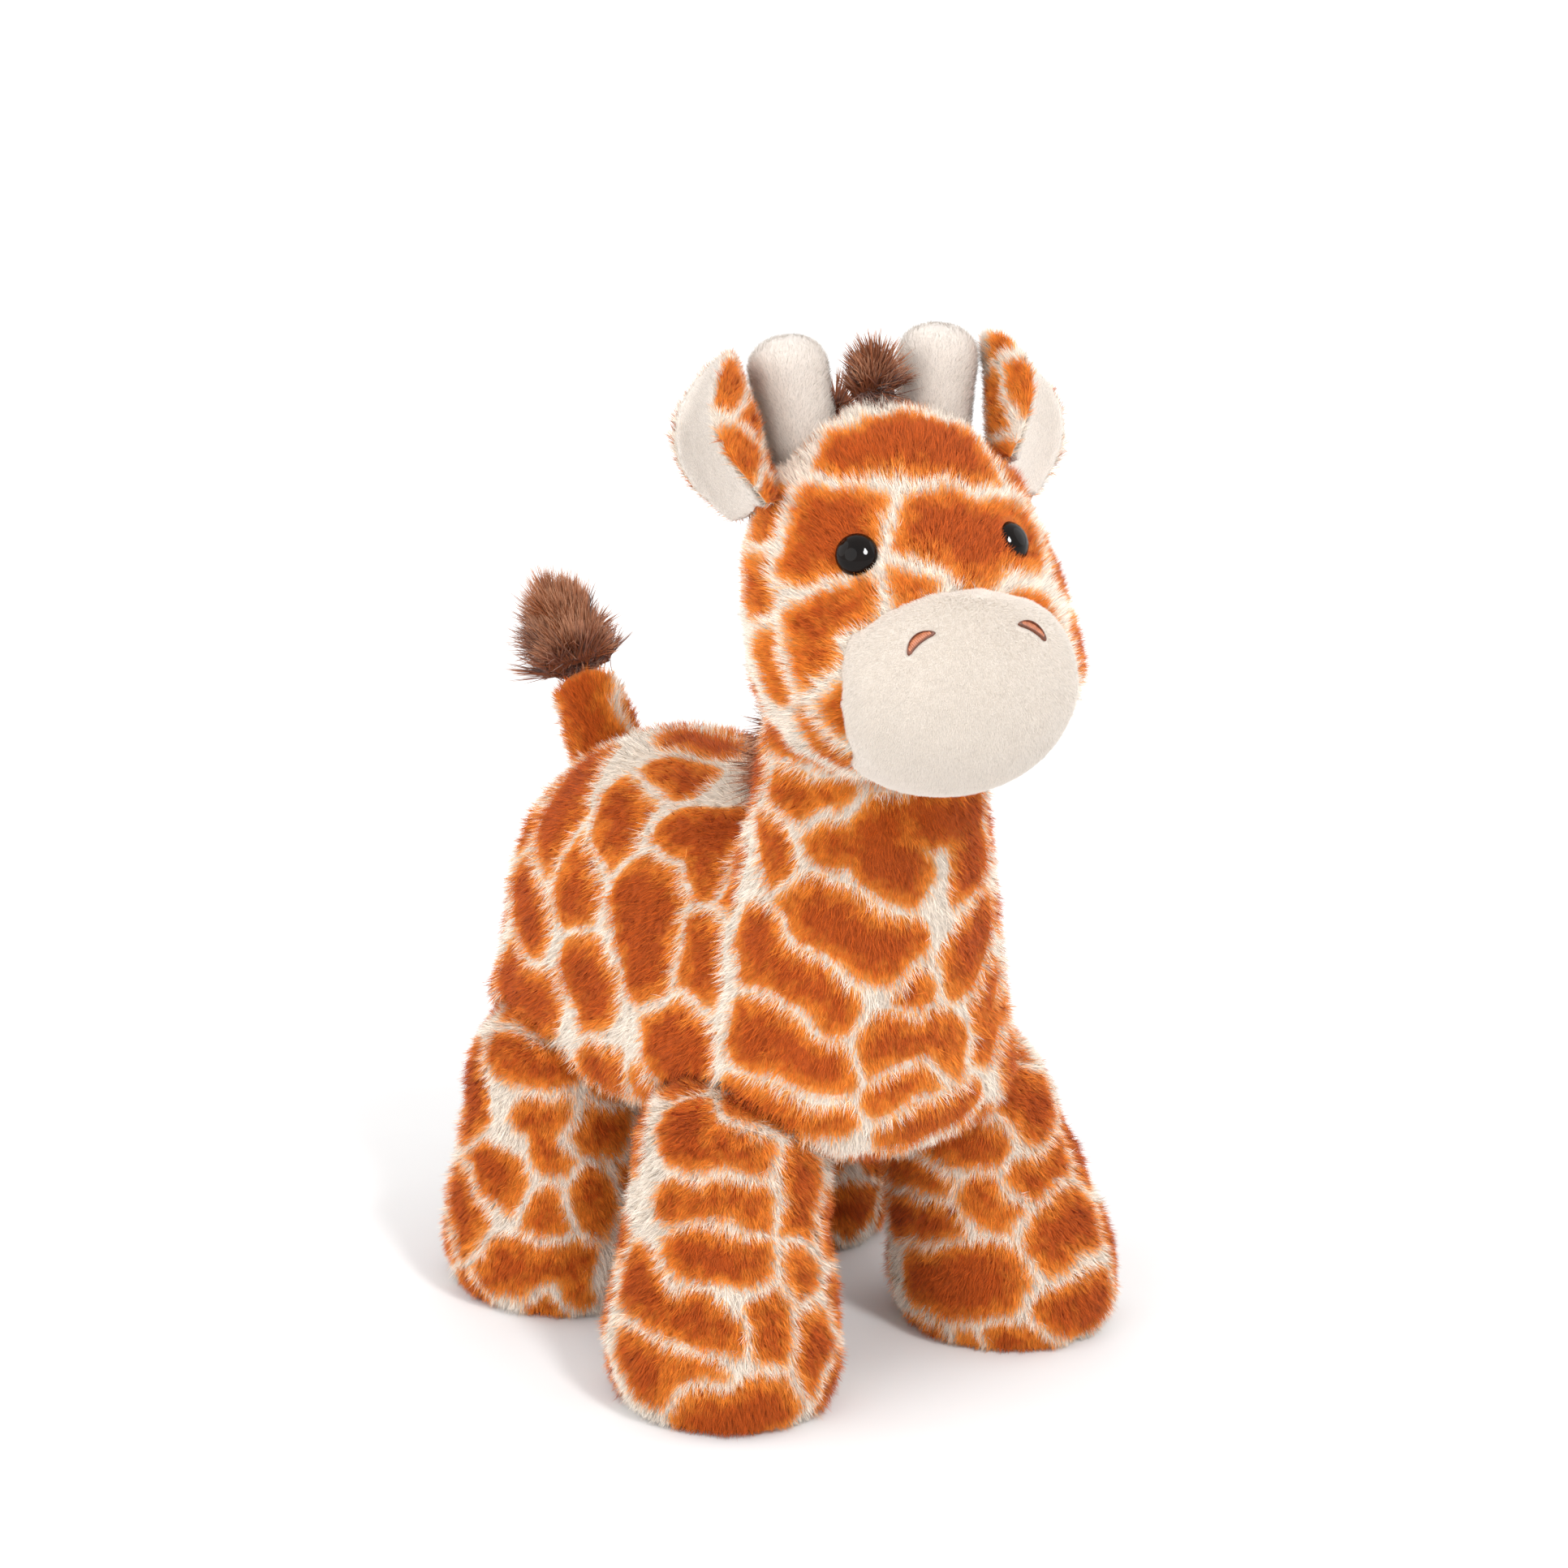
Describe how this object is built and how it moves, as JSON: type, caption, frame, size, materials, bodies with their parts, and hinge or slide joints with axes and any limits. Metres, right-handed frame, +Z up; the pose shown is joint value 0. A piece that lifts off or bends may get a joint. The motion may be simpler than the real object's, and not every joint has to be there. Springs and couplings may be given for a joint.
{
  "type": "plush giraffe",
  "caption": "Standing stuffed giraffe sewn from giraffe-print plush, with a nodding head, swinging legs, a tufted tail, blunt horns and floppy ears.",
  "frame": {"origin": "on the floor, under the middle of the toy's bounding box", "axes": "+Z up, -Y the way the toy faces, +X towards the toy's left"},
  "size_m": [0.14, 0.2121, 0.2575],
  "materials": {
    "print_plush": "short-pile plush printed with orange-brown patches on a cream ground",
    "cream_plush": "short cream plush",
    "brown_pile": "long brown pile",
    "fibre_fill": "loose white polyester fibre",
    "embroidery_thread": "satin-stitched thread",
    "eye_gloss": "polished black",
    "washer_plastic": "moulded white"
  },
  "bodies": {
    "body": {"neck_cover": "print_plush", "neck_stuffing": "fibre_fill", "neck_mane": "brown_pile", "torso_cover": "print_plush", "torso_stuffing": "fibre_fill"},
    "head": {"head_cover": "print_plush", "head_stuffing": "fibre_fill", "head_mane": "brown_pile", "forelock": "brown_pile", "muzzle_cover": "cream_plush", "muzzle_stuffing": "fibre_fill", "nostril_right": "embroidery_thread", "nostril_left": "embroidery_thread", "eye_right": "eye_gloss", "eye_left": "eye_gloss", "eye_washer_right": "washer_plastic", "eye_washer_left": "washer_plastic"},
    "front_right_leg": {"front_right_leg_cover": "print_plush", "front_right_leg_stuffing": "fibre_fill", "front_right_sole": "print_plush"},
    "front_left_leg": {"front_left_leg_cover": "print_plush", "front_left_leg_stuffing": "fibre_fill", "front_left_sole": "print_plush"},
    "hind_right_leg": {"hind_right_leg_cover": "print_plush", "hind_right_leg_stuffing": "fibre_fill", "hind_right_sole": "print_plush"},
    "hind_left_leg": {"hind_left_leg_cover": "print_plush", "hind_left_leg_stuffing": "fibre_fill", "hind_left_sole": "print_plush"},
    "tail": {"tail_cover": "print_plush", "tail_stuffing": "fibre_fill", "tail_tuft": "brown_pile"},
    "horn_right": {"horn_right_cover": "cream_plush", "horn_right_stuffing": "fibre_fill"},
    "horn_left": {"horn_left_cover": "cream_plush", "horn_left_stuffing": "fibre_fill"},
    "ear_right": {"ear_right_back": "print_plush", "ear_right_lining": "cream_plush"},
    "ear_left": {"ear_left_back": "print_plush", "ear_left_lining": "cream_plush"}
  },
  "joints": [
    {"name": "head_nod", "type": "hinge", "parent": "body", "child": "head", "pos_m": [0, -0.03685, 0.168], "axis": [0.9703, -0.2419, 0], "range_deg": [-12, 12], "stiffness_Nm_per_rad": 0.8},
    {"name": "front_right_leg_swing", "type": "hinge", "parent": "body", "child": "front_right_leg", "pos_m": [-0.034, -0.02685, 0.062], "axis": [1, 0, 0], "range_deg": [-10, 10], "stiffness_Nm_per_rad": 0.8},
    {"name": "front_left_leg_swing", "type": "hinge", "parent": "body", "child": "front_left_leg", "pos_m": [0.034, -0.02685, 0.062], "axis": [1, 0, 0], "range_deg": [-10, 10], "stiffness_Nm_per_rad": 0.8},
    {"name": "hind_right_leg_swing", "type": "hinge", "parent": "body", "child": "hind_right_leg", "pos_m": [-0.033, 0.05015, 0.06], "axis": [1, 0, 0], "range_deg": [-10, 10], "stiffness_Nm_per_rad": 0.8},
    {"name": "hind_left_leg_swing", "type": "hinge", "parent": "body", "child": "hind_left_leg", "pos_m": [0.033, 0.05015, 0.06], "axis": [1, 0, 0], "range_deg": [-10, 10], "stiffness_Nm_per_rad": 0.8},
    {"name": "tail_lift", "type": "hinge", "parent": "body", "child": "tail", "pos_m": [0, 0.07615, 0.127], "axis": [1, 0, 0], "range_deg": [-25, 25], "stiffness_Nm_per_rad": 0.05},
    {"name": "horn_right_sway", "type": "hinge", "parent": "head", "child": "horn_right", "pos_m": [-0.01504, -0.02897, 0.229], "axis": [0.9672, -0.2237, 0.1207], "range_deg": [-10, 10], "stiffness_Nm_per_rad": 0.03},
    {"name": "horn_left_sway", "type": "hinge", "parent": "head", "child": "horn_left", "pos_m": [0.01698, -0.03696, 0.229], "axis": [0.959, -0.2566, -0.1207], "range_deg": [-10, 10], "stiffness_Nm_per_rad": 0.03},
    {"name": "ear_right_flap", "type": "hinge", "parent": "head", "child": "ear_right", "pos_m": [-0.03042, -0.03672, 0.21988], "axis": [-0.221, -0.8864, 0.4067], "range_deg": [-2, 30], "stiffness_Nm_per_rad": 0.02},
    {"name": "ear_left_flap", "type": "hinge", "parent": "head", "child": "ear_left", "pos_m": [0.02692, -0.05104, 0.21989], "axis": [0.7167, 0.4818, -0.5042], "range_deg": [-2, 30], "stiffness_Nm_per_rad": 0.02}
  ]
}
